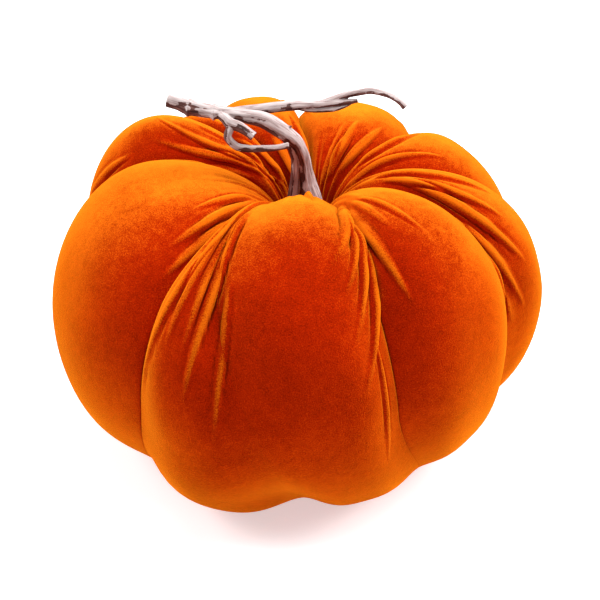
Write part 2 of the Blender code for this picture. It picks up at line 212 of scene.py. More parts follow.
# Shallow dents where the filling is loose, and the length on the meridian that stands for one step of place
DENT_SCALE = LOBES[0].reach
Dent = namedtuple("Dent", "azimuth place width depth")
DENTS = (
    Dent(4, 1.45, 24, 1.6),
    Dent(-7, 2.45, 26, 3.5),
    Dent(9, 1.85, 20, 1.2),
    Dent(-27, 2.1, 22, 1.2),
    Dent(-62, 1.7, 24, 1.4),
    Dent(47, 1.75, 26, 1.4),
    Dent(84, 1.8, 22, 1.2),
    Dent(120, 1.8, 24, 1.2),
    Dent(160, 1.7, 26, 1.4),
    Dent(194, 1.6, 22, 1.2),
    Dent(240, 1.8, 26, 1.4),
)

# Mesh columns between two lines, which are grooves and fold crests: a least number and more for each degree
LEAST_STEPS, STEPS_PER_DEGREE = 7, 0.9
# Least share of a lobe between two lines of columns, and how closely the columns crowd to those lines
LEAST_GAP = 0.035
CROWDING = 0.7

# Velvet: its ground between the deepest and the lightest pile, the colours of painted shade in a crease, of
# painted sheen on a fold and of painted top light and sheen along the crowns, and the shader's own sheen
VELVET_DEEP = (0.20, 0.003, 0.0002)
VELVET_LIGHT = (0.46, 0.014, 0.0006)
# painted shade darkens the creases
VELVET_CREASE_SHADE = (0.10, 0.002, 0.0002)
VELVET_FOLD_SHEEN = (0.60, 0.110, 0.003)
VELVET_PAINTED_SHEEN = (0.80, 0.18, 0.007)
VELVET_SHEEN = (1.0, 0.30, 0.010)
VELVET_ROUGHNESS, SHEEN_ROUGHNESS = 0.95, 0.43
# Noises as scale, detail and distortion: pile brushed this way and that, clumps of it, and single tufts
BRUSHED_NOISE, CLUMP_NOISE, TUFT_NOISE = (22, 3, 0.6), (210, 3, 0.3), (1600, 3, 0)
# Share of clumps in a patch, of tufts in the ground's shade and of tufts in the relief of the pile
CLUMPS_IN_PATCH, TUFTS_IN_SHADE, TUFTS_IN_PILE = 0.4, 0.6, 0.75
# Shades at which the ground is deepest and lightest, and how strong and how high the pile's relief is
GROUND_RANGE = (0.37, 0.65)
PILE_STRENGTH, PILE_RELIEF = 0.8, 0.0005
# Painted top light and sheen on the crowns: how far upwards and how far from face on the pile turns before it
# is painted golden, the share it keeps where it doesn't face upwards, and how ragged and how patchy the
# change is
PAINTED_SHEEN_UPWARD, PAINTED_SHEEN_SIDE_ON = (0.35, 1.0), (0.12, 0.95)
PAINTED_SHEEN_LEAST, PAINTED_SHEEN_SPECKLE, PAINTED_SHEEN_PATCHES = 0.18, 0.9, 0.9
# Relief of the velvet against its own rows smoothed over a length, and the step at which they are sampled
RELIEF_SPREAD, RELIEF_STEP = 3.5, 0.4
# Heights between which the painted sheen on a fold and the painted shade in a crease come in, and how ragged
# each change is
FOLD_SHEEN_RELIEF, FOLD_SHEEN_SPECKLE = (0.30, 1.6), 2.0
CREASE_SHADE_RELIEF, CREASE_SHADE_SPECKLE = (-0.3, -1.7), 1.0

# Stem: the route of each strand of the vine as x, y, z and the radius there. Sides and step give the
# fineness of its tube; furrows run along it, with their depth as a share of the radius.
STEM_GAP = 0.3
Strand = namedtuple("Strand", "name sides step furrows depth route")
STRANDS = (
    Strand("main", 44, 0.9, 7, 0.13, (
        (13, 4, THROAT_HEIGHT + STEM_GAP, 9.0), (12, 4, 134, 8.0), (10.6, 4, 145, 6.5), (8.7, 4, 154, 4.8),
        (7.2, 3.4, 162, 3.9), (6.0, 2.6, 170, 3.7), (3.9, 1.5, 176, 4.1), (0.4, 0.2, 183, 4.6),
        (-8, -2, 191, 4.7), (-17, -3, 197, 4.5), (-27, -3, 199, 4.2), (-35, -3, 200.5, 4.0),
        (-43, -3, 201.5, 4.0), (-51, -2, 202.5, 4.0), (-59, -1, 204, 4.3), (-64, 0, 205.5, 3.9),
        (-70, 1, 207, 4.2),
    )),
    Strand("left", 28, 0.9, 3, 0.14, (
        (-1.6, 3.2, THROAT_HEIGHT + STEM_GAP, 3.8), (-1.0, 3.2, 134, 3.5), (-0.2, 3.2, 145, 3.1),
        (0.5, 2.9, 154, 2.7), (0.9, 2.2, 162, 2.4), (0.8, 1.4, 170, 2.2), (-0.1, 0.2, 175, 2.1),
        (-2.2, -1.0, 180, 2.0), (-6, -2.6, 186, 1.5),
    )),
    Strand("heart", 12, 0.9, 1, 0.1, (
        (3.5, 5.2, THROAT_HEIGHT + STEM_GAP, 2.6), (3.6, 5.2, 145, 2.2), (3.6, 4.2, 160, 1.8),
        (3.0, 2.8, 172, 1.6),
    )),
    Strand("long", 26, 0.9, 4, 0.16, (
        (-41, -2, 200.5, 2.2), (-33, 2, 199.5, 2.7), (-27, 5, 199, 3.0), (-18, 8, 198.5, 3.0),
        (-7, 10, 199, 2.8), (4, 12, 199, 2.8), (15, 13, 199, 2.5), (27, 14, 199.5, 2.0),
        (37, 15, 200.5, 1.1),
    )),
    Strand("loose bark", 12, 0.9, 2, 0.3, (
        (3, 10.5, 197.0, 0.6), (9, 10.6, 196.2, 1.0), (16, 11.2, 196.0, 1.2), (23, 11.8, 196.2, 1.1),
        (29, 12.6, 197.4, 0.7), (33, 13.6, 198.8, 0.4),
    )),
    Strand("arched", 20, 0.9, 3, 0.12, (
        (12, 13, 199, 1.4), (18, 14, 200.5, 1.8), (23, 15, 201.8, 1.9), (30, 16, 203.5, 2.0),
        (37, 16, 205, 1.9), (44, 16, 206, 1.8), (51, 15, 205, 1.7), (57, 14, 203, 1.7),
        (62, 12, 200, 1.9), (64, 11, 198, 2.1),
    )),
    Strand("stub", 26, 0.9, 5, 0.10, (
        (-42, -4, 201, 2.4), (-38, -8, 200, 2.7), (-35, -10, 198, 2.9), (-30, -12, 197, 2.8),
        (-25, -13, 194, 2.5), (-22, -14, 192, 2.7),
    )),
    Strand("curled", 20, 0.9, 3, 0.12, (
        (-36, -9, 199, 2.0), (-35, -11, 196, 2.4), (-36.5, -13, 192, 2.4), (-35, -14, 189, 2.2),
        (-31, -15, 186, 2.1), (-25, -15, 185, 2.0), (-17, -13, 184, 1.9), (-10, -12, 184, 1.8),
        (-5, -11, 184.5, 1.9), (-2.6, -10.6, 184.6, 2.0),
    )),
    Strand("spur", 10, 0.6, 2, 0.1, (
        (-4, -1.5, 190, 1.4), (-2.4, -1.6, 191.6, 1.0), (-0.6, -1.7, 192.6, 0.35),
    )),
)
# Raised rings where leaves grew, as x, y, z of the place on the vine, the ring's half length and its height
Ring = namedtuple("Ring", "x y z half_length height")
RINGS = (
    Ring(-58, -1.1, 203.8, 1.8, 1.2),
    Ring(-44, -2.9, 201.7, 1.8, 1.1),
    Ring(-36, -10, 198, 2.6, 0.4),
    Ring(-3, -10.8, 184.5, 0.8, 0.3),
    Ring(63, 11.5, 199, 0.8, 0.3),
)
# Furrows: where in its share of the round one may start, its half width in radians and its share of the depth
FURROW_STARTS, FURROW_WIDTHS, FURROW_DEPTHS = (0.1, 0.7), (0.16, 0.34), (0.5, 1.3)
# How far a furrow swings to the side and over which length, its least depth and the length of its change
FURROW_SWING, SWING_LENGTH, FURROW_LEAST, CHANGE_LENGTH = 0.25, 14, 0.65, 9
LUMP_HEIGHT, LUMP_LENGTH = 0.07, 7
# A direction that lies along no strand's start, from which the first section is turned
FIRST_SIDE = (0.2, 1, 0.1)
# The cut face of each strand's end sinks towards its middle, by shares of its radius
CUT_FACE = ((0.93, 0.10), (0.80, 0.05), (0.62, -0.18), (0.30, -0.25))
REMESH_VOXEL = 0.36
SOFTEN_SHARE, SOFTEN_ROUNDS = 0.5, 2
# Points whose nearest section is looked up at a time
BLOCK = 4000

# Bark: how much shorter its pattern is across a strand than along it, and the deepest furrow it tells apart
GRAIN_STRETCH = 9
DEEPEST_FURROW = 0.5
# The way the side faces that turns brown, partly the wood's own colour and partly painted shade on the left
# side and the undersides: on upright parts and on level ones
BARE_AND_SHADE_UPRIGHT = (-1, 0.1, 0)
BARE_AND_SHADE_LEVEL = (0, -0.35, -0.94)
# Noises as scale and detail: patches, streaks and fibres that run with the grain, and flakes that don't
PATCH_NOISE, STREAK_NOISE, FIBRE_NOISE, FLAKE_NOISE = (0.35, 4), (0.9, 4), (3.2, 3), (110, 5)
# How much patches, the browned side and furrows, both partly painted shade, count beside the flakes, and
# where pale bark takes over
PATCH_WEIGHT, BARE_AND_SHADE_WEIGHT, FURROW_WEIGHT = 0.6, -0.30, -1.2
BARK_EDGE = ((0.67, (0, 0, 0)), (0.705, (1, 1, 1)))
# Colours of pale bark and of brown wood, which also serves as painted shade, from the darkest streaks to the
# lightest
PALE_BARK = ((0.32, (0.24, 0.16, 0.15)), (0.44, (0.41, 0.32, 0.31)), (0.62, (0.56, 0.48, 0.47)))
BROWN_WOOD_AND_SHADE = ((0.32, (0.025, 0.008, 0.007)), (0.52, (0.10, 0.033, 0.026)), (0.72, (0.23, 0.115, 0.095)))
# Relief: how much streaks and fibres count beside the patches' edges, how strong and how high it is
STREAK_RELIEF, FIBRE_RELIEF = 0.6, 0.4
BARK_STRENGTH, BARK_RELIEF = 0.7, 0.0005
BARK_ROUGHNESS, BARK_SPECULAR = 0.75, 0.3


def at_stations(place, values):
    """Smooth value at a place on the meridian, from the values at the stations; it never overshoots them."""
    values = np.array(values, float)
    stations = np.array(STATIONS, float)
    place = np.clip(place, stations[0], stations[-1])
    slopes = np.diff(values) / np.diff(stations)
    before, after = slopes[:-1], slopes[1:]
    turns = before * after <= 0
    total = np.where(turns, 1, before + after)
    middle = np.where(turns, 0, 2 * before * after / total)
    tangents = np.concatenate([slopes[:1], middle, slopes[-1:]])
    k = np.clip(np.searchsorted(stations, place, side="right") - 1, 0, len(stations) - 2)
    step = stations[k + 1] - stations[k]
    f = (place - stations[k]) / step
    start = (1 + 2 * f) * (1 - f) ** 2 * values[k] + f * (1 - f) ** 2 * step * tangents[k]
    end = f * f * (3 - 2 * f) * values[k + 1] - f * f * (1 - f) * step * tangents[k + 1]
    return start + end


def across_lobe(number, fraction, column):
    """A lobe's own table value at its middle, and the mean with its neighbour's at each groove."""
    own = getattr(LOBES[number], column)
    before = getattr(LOBES[number - 1], column)
    after = getattr(LOBES[(number + 1) % len(LOBES)], column)
    edge = np.where(fraction < 0.5, (own + before) / 2, (own + after) / 2)
    weight = np.sin(np.pi * fraction) ** 2
    return own * weight + edge * (1 - weight)


def meridian(place, size):
    """Radius and height on the meridian, and the direction in which grooves and folds displace it."""
    quarter = np.clip(place.astype(int), 0, 2)
    angle = (place - quarter) * np.pi / 2
    rise = np.maximum(np.sin(angle), 1e-9)
    fall = np.maximum(np.cos(angle), 1e-9)
    inner_r = size["crown_radius"] - (size["crown_radius"] - THROAT_RADIUS) * fall ** (2 / INNER_POWER)
    inner_z = THROAT_HEIGHT + (size["crown_height"] - THROAT_HEIGHT) * rise ** (2 / INNER_POWER)
    outer_r = size["crown_radius"] + (size["reach"] - size["crown_radius"]) * rise ** (2 / OUTER_POWER)
    upper = size["crown_height"] - size["equator_height"]
    outer_z = size["equator_height"] + upper * fall ** (2 / OUTER_POWER)
    low_r = size["base_radius"] + (size["reach"] - size["base_radius"]) * fall ** (2 / LOW_POWER)
    low_z = size["equator_height"] * (1 - rise ** (2 / LOW_POWER))
    radius = np.choose(quarter, [inner_r, outer_r, low_r])
    height = np.choose(quarter, [inner_z, outer_z, low_z])
    # the direction turns from inwards at the throat, up on the crown and outwards at the equator, and stays
    # nearly level below it, so that the grooves reach the flat base without lifting its edge
    droop = (3 - np.clip(place, 2, 3)) * (np.clip(place, 2, 3) - 2) * np.pi / 2
    turn = np.where(place < 2, np.pi - place * np.pi / 2, -droop)
    return radius, height, np.cos(turn), np.sin(turn)


def groove_profile(fraction, sharpness):
    """Share of a groove's depth across a lobe: 1 in the groove, 0 on the lobe's middle."""
    off_middle = np.abs(2 * fraction - 1)
    crease = 1 - np.sqrt(np.maximum(1 - off_middle ** CREASE_POWER, 0))
    wave = 0.5 - 0.5 * np.cos(np.pi * off_middle ** WAVE_POWER)
    return sharpness * crease + (1 - sharpness) * wave


def fold_line(fold, place):
    """Azimuth of a fold's crest, and the share of its length at which this place lies."""
    along = np.clip((place - fold.start) / (fold.end - fold.start), 0, 1)
    first, middle, last = fold.azimuths
    bend = first + last - 2 * middle
    return first + (last - first) * along + 2 * bend * along * (along - 1), along


def turned(angle):
    """The same angle between -180 and 180."""
    return (angle + 180) % 360 - 180


def fold_height(place, azimuth, radius):
    """Height of all folds at a place: rounded ridges with a crease on both sides, deeper on the steep one."""
    total = np.zeros_like(azimuth)
    for number, fold in enumerate(FOLDS):
        line, along = fold_line(fold, place)
        if not 0 < along < 1:
            continue
        narrowed = FOLD_END_WIDTH + (1 - FOLD_END_WIDTH) * np.sin(np.pi * along)
        aside = np.radians(turned(azimuth - line)) * radius / (ROLL_WIDTH * fold.half_width * narrowed)
        lean = fold.lean * np.tanh(LEAN_CHANGE * aside)
        x = np.abs(aside) * (1 + LEAN_STEEPNESS * lean)
        ridge = np.maximum(1 - x ** 2, 0) ** ROLL_POWER
        crease = np.exp(-((x - CREASE_PLACE) / CREASE_WIDTH) ** 2)
        crease *= CREASE_LEAST + CREASE_ADDED * np.maximum(lean, 0)
        fade = np.sin(np.pi * along ** FOLD_PEAK) ** FOLD_FADE
        waver = 1 + FOLD_WAVER * np.sin(FOLD_WAVES * along * (1 + number % 3) + number)
        total += ROLL_HEIGHT * fold.height * waver * fade * (ridge - crease)
    return total


def pleat_height(place, azimuth):
    """Small pleats that run out of the throat, as uneven as gathered cloth."""
    random = np.random.default_rng(SEED)
    strength = at_stations(place, PLEAT_STATIONS)
    total = np.zeros_like(azimuth)
    for count, depth in zip(PLEAT_COUNTS, PLEAT_DEPTHS):
        phase, drift = random.uniform(0, 2 * np.pi), random.uniform(-PLEAT_DRIFT, PLEAT_DRIFT)
        total += depth * np.sin(count * np.radians(azimuth) + phase + drift * place)
    return strength * total


def dent_depth(place, azimuth, radius):
    """Depth of all dents at a place, each as soft as a bell."""
    total = np.zeros_like(azimuth)
    for dent in DENTS:
        across = np.radians(turned(azimuth - dent.azimuth)) * radius
        along = (place - dent.place) * DENT_SCALE
        total += dent.depth * np.exp(-(across ** 2 + along ** 2) / dent.width ** 2)
    return total


def groove_azimuths(number, place):
    """Azimuths of the grooves before and after a lobe."""
    following = (number + 1) % len(GROOVES)
    start = at_stations(place, GROOVES[number].azimuths)
    end = at_stations(place, GROOVES[following].azimuths) + (360 if following == 0 else 0)
    return start, end


def share_of_lobe(number, place, azimuth):
    """Where an azimuth lies between a lobe's grooves: 0 at the one before it, 1 at the one after it."""
    start, end = groove_azimuths(number, place)
    return turned(azimuth - start) / (end - start)


@lru_cache
def folds_on_lobe(number):
    """Folds whose middle lies between the lobe's grooves, in order round the body."""
    shares = {}
    for fold in FOLDS:
        middle = (fold.start + fold.end) / 2
        share = share_of_lobe(number, middle, fold_line(fold, middle)[0])
        if 0 < share < 1:
            shares[fold] = share
    return sorted(shares, key=shares.get)


def lines_of_columns(number, place):
    """Shares of a lobe at which its grooves and fold crests lie."""
    lines = [0.0]
    for fold in folds_on_lobe(number):
        held = np.clip(place, fold.start, fold.end)
        share = share_of_lobe(number, held, fold_line(fold, held)[0])
        lines.append(max(share, lines[-1] + LEAST_GAP))
    lines.append(1.0)
    for i in range(len(lines) - 2, 0, -1):
        lines[i] = min(lines[i], lines[i + 1] - LEAST_GAP)
    return lines


@lru_cache
def column_steps(number):
    """How many mesh columns stand between two lines of a lobe, by how wide it is there on the shoulder."""
    start, end = groove_azimuths(number, SHOULDER)
    widths = np.diff(lines_of_columns(number, SHOULDER)) * (end - start)
    return [LEAST_STEPS + round(STEPS_PER_DEGREE * width) for width in widths]


def column_fractions(number, place):
    """Fractions across a lobe at which mesh columns stand: on its grooves, on its folds and between them."""
    lines = lines_of_columns(number, place)
    out = []
    for k, steps in enumerate(column_steps(number)):
        even = np.arange(steps) / steps
        crowded = even - CROWDING * np.sin(2 * np.pi * even) / (2 * np.pi)
        out.append(lines[k] + (lines[k + 1] - lines[k]) * crowded)
    return np.concatenate(out)


def lobe_sizes(number, fraction):
    """The sizes of the meridian at fractions across a lobe."""
    columns = ("reach", "crown_radius", "crown_height", "equator_height", "base_radius")
    return {column: across_lobe(number, fraction, column) for column in columns}


def body_row(place):
    """The mesh row at one place, before its folds and centring: x, y, z, azimuth and radius."""
    points = []
    for k in range(len(LOBES)):
        start, end = groove_azimuths(k, place)
        fraction = column_fractions(k, place)
        azimuth = start + (end - start) * fraction
        radius, height, out, up = meridian(np.full(fraction.size, place), lobe_sizes(k, fraction))
        blend = fraction ** 2 * (3 - 2 * fraction)
        start_depth = at_stations(place, GROOVES[k].depths)
        end_depth = at_stations(place, GROOVES[(k + 1) % len(GROOVES)].depths)
        depth = start_depth * (1 - blend) + end_depth * blend
        crease = GROOVES[k].crease * (1 - blend) + GROOVES[(k + 1) % len(GROOVES)].crease * blend
        profile = groove_profile(fraction, crease * at_stations(place, SHARPNESS))
        push = pleat_height(place, azimuth) - dent_depth(place, azimuth, radius) - depth * profile
        radius = radius + push * out
        height = height + push * up
        aside = at_stations(place, DRAWN_ASIDE)
        x = radius * np.sin(np.radians(azimuth)) + aside * THROAT_OFFSET[0]
        y = -radius * np.cos(np.radians(azimuth)) + aside * THROAT_OFFSET[1]
        points.append(np.stack([x, y, height, azimuth, radius], axis=-1))
    return np.concatenate(points)


def grid_normals(rows):
    """Outward directions of the surface at the points of closed rows, evened over a few columns."""
    outwards = np.gradient(rows, axis=0)
    around = np.roll(rows, -1, axis=1) - np.roll(rows, 1, axis=1)
    normals = np.cross(outwards, around)
    normals /= np.linalg.norm(normals, axis=-1)[..., None]
    normals = sum(np.roll(normals, k, axis=1) for k in range(-NORMAL_REACH, NORMAL_REACH + 1))
    return normals / np.linalg.norm(normals, axis=-1)[..., None]


def row_relief(row, normals):
    """Height of a closed row's points above the row smoothed: folds above 0, creases below."""
    closed = np.vstack([row, row[:1]])
    lengths = np.concatenate([[0], np.cumsum(np.linalg.norm(np.diff(closed, axis=0), axis=1))])
    count = round(lengths[-1] / RELIEF_STEP)
    even = np.arange(count + 1) / count * lengths[-1]
    waves = np.exp(-2 * (np.pi * np.fft.rfftfreq(count, RELIEF_STEP) * RELIEF_SPREAD) ** 2)
    smooth = np.empty_like(row)
    for k in range(3):
        values = np.interp(even, lengths, closed[:, k])[:-1]
        evened = np.fft.irfft(np.fft.rfft(values) * waves, count)
        smooth[:, k] = np.interp(lengths[:-1], even, np.append(evened, evened[0]))
    return ((row - smooth) * normals).sum(axis=1)


def body_points():
    """Rows of points with their folds, and the relief at each point."""
    places = np.concatenate([
        np.linspace(0, 1, ROWS_INNER, endpoint=False),
        np.linspace(1, 2, ROWS_OUTER, endpoint=False),
        np.linspace(2, 3, ROWS_LOW + 1),
    ])
    rows = np.array([body_row(place) for place in places])
    rows, azimuths, radii = rows[..., :3], rows[..., 3], rows[..., 4]
    normals = grid_normals(rows)
    around = np.linalg.norm(np.roll(rows, -1, axis=1) - np.roll(rows, 1, axis=1), axis=-1)
    turns = np.radians(turned(np.roll(azimuths, -1, axis=1) - np.roll(azimuths, 1, axis=1)))
    reach = np.clip(around / turns, radii, MOST_STRETCH * radii)
    heights = np.array([fold_height(*line) for line in zip(places, azimuths, reach)])
    rows = rows + heights[..., None] * normals
    relief = np.array([row_relief(*line) for line in zip(rows, normals)])
    return rows, relief


def grid_object(name, rows):
    """A closed skin over rings of points, from the first to the last, with a flat cap on each end."""
    count = rows.shape[1]
    index = np.arange(rows.shape[0] * count).reshape(-1, count)
    upper, lower = index[:-1], index[1:]
    right = np.roll(index, -1, axis=1)
    quads = np.stack([upper, lower, right[1:], right[:-1]], axis=-1).reshape(-1, 4)
    faces = quads.tolist() + [index[0].tolist(), index[-1][::-1].tolist()]
    data = bpy.data.meshes.new(name)
    data.from_pydata((rows.reshape(-1, 3) * MM).tolist(), [], faces)
    data.shade_smooth()
    item = bpy.data.objects.new(name, data)
    bpy.context.scene.collection.objects.link(item)
    return item


def keep_values(data, name, values):
    """Stores a number for each point of a mesh, for its material to read."""
    data.attributes.new(name, "FLOAT", "POINT").data.foreach_set("value", values)


def build_body():
    """The velvet skin, centred on its CAD node, and the offset that centres it."""
    rows, relief = body_points()
    flat = rows[..., :2].reshape(-1, 2)
    centre = (flat.min(axis=0) + flat.max(axis=0)) / 2
    low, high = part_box("velvet_body")
    frame_centre = (np.array(low) + np.array(high))[:2] / 2 / MM
    offset = frame_centre - centre
    rows[..., :2] += offset
    item = grid_object("velvet_skin", rows)
    keep_values(item.data, "relief", relief.ravel())
    return item, offset


def smooth_route(stations, step):
    """Points and radii along a smooth curve through a strand's stations, about one step apart."""
    stations = np.array(stations, float)
    padded = np.vstack([2 * stations[0] - stations[1], stations, 2 * stations[-1] - stations[-2]])
    out = []
    for k in range(1, len(padded) - 2):
        before, start, end, after = padded[k - 1:k + 3]
        count = max(1, round(np.linalg.norm((end - start)[:3]) / step))
        for f in np.arange(count) / count:
            curve = (2 * start + (end - before) * f + (2 * before - 5 * start + 4 * end - after) * f ** 2
                     + (3 * start - before - 3 * end + after) * f ** 3) / 2
            out.append(curve)
    out.append(stations[-1])
    out = np.array(out)
    return out[:, :3], out[:, 3]


def ring_height(point):
    """Height of a raised ring here, if this centre of a strand's section is near one."""
    total = 0
    for ring in RINGS:
        away = np.linalg.norm(point - np.array(ring[:3])) / ring.half_length
        total += ring.height * math.exp(-(2 * away) ** 2)
    return total


def strand_rings(strand, random):
    """Rings of points round a strand, and each one's centre, cross directions, radius and place along it."""
    route, radii = smooth_route(strand.route, strand.step)
    tangents = np.gradient(route, axis=0)
    tangents /= np.linalg.norm(tangents, axis=1)[:, None]
    if strand.route[0][2] < THROAT_HEIGHT + 1:
        tangents[0] = (0, 0, 1)
    angle = np.arange(strand.sides) / strand.sides * 2 * np.pi
    starts = np.arange(strand.furrows) + random.uniform(*FURROW_STARTS, strand.furrows)
    furrows = starts / strand.furrows * 2 * np.pi
    widths = random.uniform(*FURROW_WIDTHS, strand.furrows)
    depths = strand.depth * random.uniform(*FURROW_DEPTHS, strand.furrows)
    phases = random.uniform(0, 2 * np.pi, (2, strand.furrows))
    side = np.cross(tangents[0], FIRST_SIDE)
    rings, frames = [], []
    travelled = 0
    for i, (point, tangent, radius) in enumerate(zip(route, tangents, radii)):
        side = side - tangent * side.dot(tangent)
        side = side / np.linalg.norm(side)
        other = np.cross(tangent, side)
        if i > 0:
            travelled += np.linalg.norm(point - route[i - 1])
        section = np.ones(strand.sides)
        for centre, width, depth, phase, swing in zip(furrows, widths, depths, *phases):
            middle = centre + FURROW_SWING * math.sin(travelled / SWING_LENGTH + phase)
            away = (angle - middle + np.pi) % (2 * np.pi) - np.pi
            share = FURROW_LEAST + (1 - FURROW_LEAST) * math.sin(travelled / CHANGE_LENGTH + swing)
            section -= depth * share * np.exp(-(away / width) ** 2)
        section += LUMP_HEIGHT * np.sin(angle * 2 + travelled / LUMP_LENGTH + phases[0, 0])
        section = section * radius + ring_height(point)
        around = np.cos(angle)[:, None] * side + np.sin(angle)[:, None] * other
        rings.append(point + section[:, None] * around)
        frames.append((point, side, other, radius, travelled))
    edge = rings[-1] - route[-1]
    for share, rise in CUT_FACE:
        rings.append(route[-1] + share * edge + tangents[-1] * rise * radii[-1])
    return np.array(rings), frames


def joined(rings_of_strands, name):
    """All strands as closed tubes in one mesh."""
    points, faces = [], []
    for rings in rings_of_strands:
        count = rings.shape[1]
        index = np.arange(rings.shape[0] * count).reshape(-1, count) + sum(map(len, points))
        right = np.roll(index, -1, axis=1)
        quads = np.stack([index[:-1], right[:-1], right[1:], index[1:]], axis=-1).reshape(-1, 4)
        faces += quads.tolist() + [index[0][::-1].tolist(), index[-1].tolist()]
        points.append(rings.reshape(-1, 3))
    data = bpy.data.meshes.new(name)
    data.from_pydata((np.concatenate(points) * MM).tolist(), [], faces)
    item = bpy.data.objects.new(name, data)
    bpy.context.scene.collection.objects.link(item)
    return item


def nearest_frames(points, frames):
    """For each point, the number of the strand ring whose surface is nearest."""
    centres = np.array([frame[0] for frame in frames])
    radii = np.array([frame[3] for frame in frames])
    out = []
    for block in np.array_split(points, 1 + len(points) // BLOCK):
        away = np.linalg.norm(block[:, None] - centres[None], axis=2) / radii
        out.append(away.argmin(axis=1))
    return np.concatenate(out)


def bark_coordinates(data, frames):
    """Stores where each point lies in its strand's bark, how deep in a furrow and how far it faces the side
    that turns brown as partly painted shade.
    """
    points = np.empty(len(data.vertices) * 3)
    data.vertices.foreach_get("co", points)
    points = points.reshape(-1, 3) / MM
    nearest = nearest_frames(points, frames)
    centres, sides, others = (np.array([frame[k] for frame in frames])[nearest] for k in range(3))
    radii, lengths = (np.array([frame[k] for frame in frames])[nearest] for k in (3, 4))
    away = points - centres
    across, up = (away * sides).sum(axis=1), (away * others).sum(axis=1)
    reach = np.maximum(np.hypot(across, up), 1e-6)
    grain = np.stack([across / reach * radii, up / reach * radii, lengths / GRAIN_STRETCH], axis=-1)
    data.attributes.new("grain", "FLOAT_VECTOR", "POINT").data.foreach_set("vector", grain.ravel())
    keep_values(data, "furrow", np.clip(1 - reach / radii, 0, DEEPEST_FURROW))
    normals = np.empty(len(data.vertices) * 3)
    data.vertices.foreach_get("normal", normals)
    upright = np.abs(np.cross(sides, others)[:, 2:]) ** 2
    facing = upright * BARE_AND_SHADE_UPRIGHT + (1 - upright) * BARE_AND_SHADE_LEVEL
    keep_values(data, "bare_and_shade", (normals.reshape(-1, 3) * facing).sum(axis=1))


def build_stem(offset):
    """The whole vine as one skin: its strands as tubes, fused by a fine remesh."""
    random = np.random.default_rng(SEED)
    tubes, frames = [], []
    for strand in STRANDS:
        rings, along = strand_rings(strand, random)
        tubes.append(rings)
        frames += along
    item = joined(tubes, "vine_stem")
    remesh = item.modifiers.new("fuse", "REMESH")
    remesh.mode = "VOXEL"
    remesh.voxel_size = REMESH_VOXEL * MM
    remesh.use_smooth_shade = True
    soften = item.modifiers.new("soften", "SMOOTH")
    soften.factor = SOFTEN_SHARE
    soften.iterations = SOFTEN_ROUNDS
    graph = bpy.context.evaluated_depsgraph_get()
    data = bpy.data.meshes.new_from_object(item.evaluated_get(graph))
    item.modifiers.clear()
    item.data = data
    data.name = "vine_stem"
    data.shade_smooth()
    bark_coordinates(data, frames)
    data.transform(Matrix.Translation((offset[0] * MM, offset[1] * MM, 0)))
    return item


class Shading:
    """A material with a Principled shader. Most of the calls add a node and give its output."""

    def __init__(self, name):
        self.made = bpy.data.materials.new(name)
        self.made.use_nodes = True
        self.nodes = self.made.node_tree.nodes
        self.link = self.made.node_tree.links.new
        self.shader = self.nodes["Principled BSDF"]

    def add(self, kind, **settings):
        node = self.nodes.new("ShaderNode" + kind)
        for name, value in settings.items():
            setattr(node, name, value)
        return node

    def plug(self, socket, value):
        """Links an output to a socket, or sets a plain number or colour on it."""
        if isinstance(value, bpy.types.NodeSocket):
            self.link(value, socket)
        elif isinstance(value, tuple):
            socket.default_value = (*value, 1)
        else:
            socket.default_value = value

    def shade(self, values):
        for name, value in values.items():
            self.plug(self.shader.inputs[name], value)

    def place(self):
        return self.add("TexCoord").outputs["Object"]

    def attribute(self, name, output="Fac"):
        return self.add("Attribute", attribute_name=name).outputs[output]

    def noise(self, place, scale, detail, distortion=0):
        node = self.add("TexNoise")
        self.link(place, node.inputs["Vector"])
        node.inputs["Scale"].default_value = scale
        node.inputs["Detail"].default_value = detail
        node.inputs["Distortion"].default_value = distortion
        return node.outputs["Fac"]

    def mixed(self, first, second, share):
        """A number between two others."""
        node = self.add("Mix", data_type="FLOAT")
        for number, value in ((0, share), (2, first), (3, second)):
            self.plug(node.inputs[number], value)
        return node.outputs[0]

    def layered(self, under, over, share):
        """A colour between two others."""
        node = self.add("Mix", data_type="RGBA")
        for number, value in ((0, share), (6, under), (7, over)):
            self.plug(node.inputs[number], value)
        return node.outputs[2]

    def weighed(self, value, factor, added):
        """The value times the factor, and something added."""
        node = self.add("Math", operation="MULTIPLY_ADD")
        for socket, given in zip(node.inputs, (value, factor, added)):
            self.plug(socket, given)
        return node.outputs[0]

    def product(self, first, second):
        node = self.add("Math", operation="MULTIPLY")
        self.link(first, node.inputs[0])
        self.link(second, node.inputs[1])
        return node.outputs[0]

    def ranged(self, value, start, end):
        """A share that rises smoothly from 0 to 1 as the value goes from start to end."""
        node = self.add("MapRange", interpolation_type="SMOOTHSTEP")
        self.link(value, node.inputs["Value"])
        node.inputs["From Min"].default_value = start
        node.inputs["From Max"].default_value = end
        return node.outputs["Result"]

    def ramp(self, value, stops):
        node = self.add("ValToRGB")
        elements = node.color_ramp.elements
        for number, (position, colour) in enumerate(stops):
            stop = elements[number] if number < 2 else elements.new(position)
            stop.position = position
            stop.color = (*colour, 1)
        self.link(value, node.inputs["Fac"])
        return node.outputs["Color"]

    def bump(self, height, strength, distance):
        node = self.add("Bump")
        self.link(height, node.inputs["Height"])
        node.inputs["Strength"].default_value = strength
        node.inputs["Distance"].default_value = distance
        return node.outputs["Normal"]


